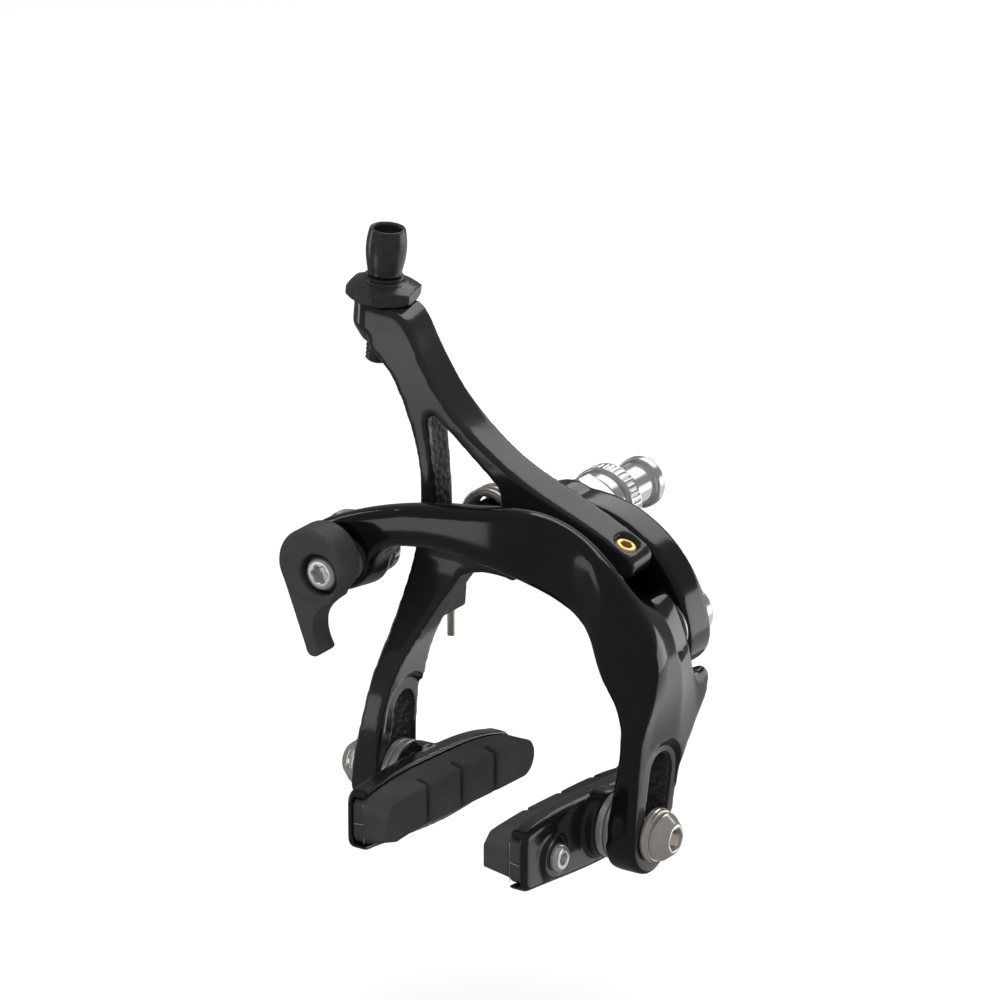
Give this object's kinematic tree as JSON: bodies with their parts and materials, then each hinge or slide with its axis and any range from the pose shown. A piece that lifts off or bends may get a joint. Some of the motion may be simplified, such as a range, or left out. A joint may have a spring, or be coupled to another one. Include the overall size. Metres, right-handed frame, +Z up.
{
  "type": "rim brake caliper",
  "caption": "Dual-pivot side-pull brake caliper that bolts to a bicycle frame or fork and squeezes two cartridge shoes onto the wheel rim.",
  "frame": {"origin": "on the centre bolt's axis, in the seating washer's rear ring, which rests on the frame or fork", "axes": "+X to the right seen from the front, +Y rearward along the bolt into the frame, +Z up"},
  "size_m": [0.0848, 0.0724, 0.1124],
  "materials": {
    "arm_paint": "gloss black paint over forged aluminium",
    "black_hardware": "satin black anodised aluminium",
    "lever_plastic": "fine-textured black nylon",
    "bright_steel": "bright chrome-plated steel",
    "nickel_steel": "nickel-plated steel, warm and bright",
    "washer_steel": "dull zinc-plated steel",
    "spring_steel": "stainless spring wire",
    "brass": "yellow brass",
    "bush_resin": "dry-running resin bush",
    "slider_nylon": "matte black nylon",
    "pad_rubber": "matte charcoal brake rubber"
  },
  "bodies": {
    "mounting_stack": {"rear_bracket": "arm_paint", "centre_bolt": "bright_steel", "front_thrust_washer": "washer_steel", "rear_thrust_washer": "washer_steel", "locknut": "bright_steel", "spacer_washer": "bright_steel", "seating_washer": "bright_steel", "side_bush": "bush_resin", "return_spring": "spring_steel"},
    "nut": {"mounting_nut": "bright_steel"},
    "left_arm": {"y_arm": "arm_paint", "centre_bush": "bush_resin", "spring_slider": "slider_nylon"},
    "right_arm": {"c_arm": "arm_paint", "side_thrust_washer": "washer_steel", "side_pivot_bolt": "bright_steel"},
    "centring": {"centring_screw": "brass"},
    "adjusting_nut": {"adjuster_nut": "black_hardware"},
    "barrel": {"adjuster_barrel": "black_hardware"},
    "quick_release": {"qr_cam": "bright_steel", "clamp_washer": "bright_steel", "clamp_nut": "bright_steel", "qr_lever": "lever_plastic", "qr_screw": "bright_steel"},
    "left_pad_mount": {"left_pad_bolt": "nickel_steel", "left_stepped_washer": "nickel_steel", "left_convex_washer": "washer_steel", "left_dished_washer": "washer_steel"},
    "left_shoe": {"left_shoe_holder": "arm_paint", "left_brake_pad": "pad_rubber", "left_pad_screw": "bright_steel"},
    "right_pad_mount": {"right_pad_bolt": "nickel_steel", "right_stepped_washer": "nickel_steel", "right_convex_washer": "washer_steel", "right_dished_washer": "washer_steel"},
    "right_shoe": {"right_shoe_holder": "arm_paint", "right_brake_pad": "pad_rubber", "right_pad_screw": "bright_steel"}
  },
  "joints": [
    {"name": "left_arm_pivot", "type": "hinge", "parent": "mounting_stack", "child": "left_arm", "pos_m": [0, -0.0232, 0], "axis": [0, 1, 0], "range_deg": [-5.75, 0], "stiffness_Nm_per_rad": 0.6, "springref_deg": 28.65, "deforming": ["return_spring"]},
    {"name": "right_arm_pivot", "type": "hinge", "parent": "mounting_stack", "child": "right_arm", "pos_m": [0.0235, -0.017, -0.0145], "axis": [0, 1, 0], "range_deg": [0, 8]},
    {"name": "nut_off", "type": "slide", "parent": "mounting_stack", "child": "nut", "axis": [0, 1, 0], "range_m": [0, 0.03]},
    {"name": "centring_turn", "type": "hinge", "parent": "left_arm", "child": "centring", "pos_m": [0.0154, -0.025, -0.0055], "axis": [0.3907, 0, 0.9205], "range_deg": [-180, 180]},
    {"name": "adjusting_nut_turn", "type": "hinge", "parent": "left_arm", "child": "adjusting_nut", "pos_m": [-0.03515, -0.025, 0.0405], "axis": [0.0872, 0, 0.9962], "range_deg": [0, 2160]},
    {"name": "barrel_lift", "type": "slide", "parent": "left_arm", "child": "barrel", "axis": [0.0872, 0, 0.9962], "range_m": [0, 0.006]},
    {"name": "quick_release_lever", "type": "hinge", "parent": "right_arm", "child": "quick_release", "pos_m": [-0.0352, -0.035, -0.0081], "axis": [0, 1, 0], "range_deg": [0, 90]},
    {"name": "left_pad_height", "type": "slide", "parent": "left_arm", "child": "left_pad_mount", "axis": [0, 0.2079, 0.9781], "range_m": [0, 0.012]},
    {"name": "left_pad_toe", "type": "hinge", "parent": "left_pad_mount", "child": "left_shoe", "pos_m": [-0.019, -0.0355, -0.049], "axis": [1, 0, 0], "range_deg": [-8, 8]},
    {"name": "right_pad_height", "type": "slide", "parent": "right_arm", "child": "right_pad_mount", "axis": [0, 0.2079, 0.9781], "range_m": [0, 0.012]},
    {"name": "right_pad_toe", "type": "hinge", "parent": "right_pad_mount", "child": "right_shoe", "pos_m": [0.019, -0.0355, -0.049], "axis": [1, 0, 0], "range_deg": [-8, 8]}
  ],
  "couplings": [
    {"joint": "left_arm_pivot", "follows": "right_arm_pivot", "ratio": -0.71429},
    {"joint": "barrel_lift", "follows": "adjusting_nut_turn", "m_per_rad": 0.00015915}
  ]
}
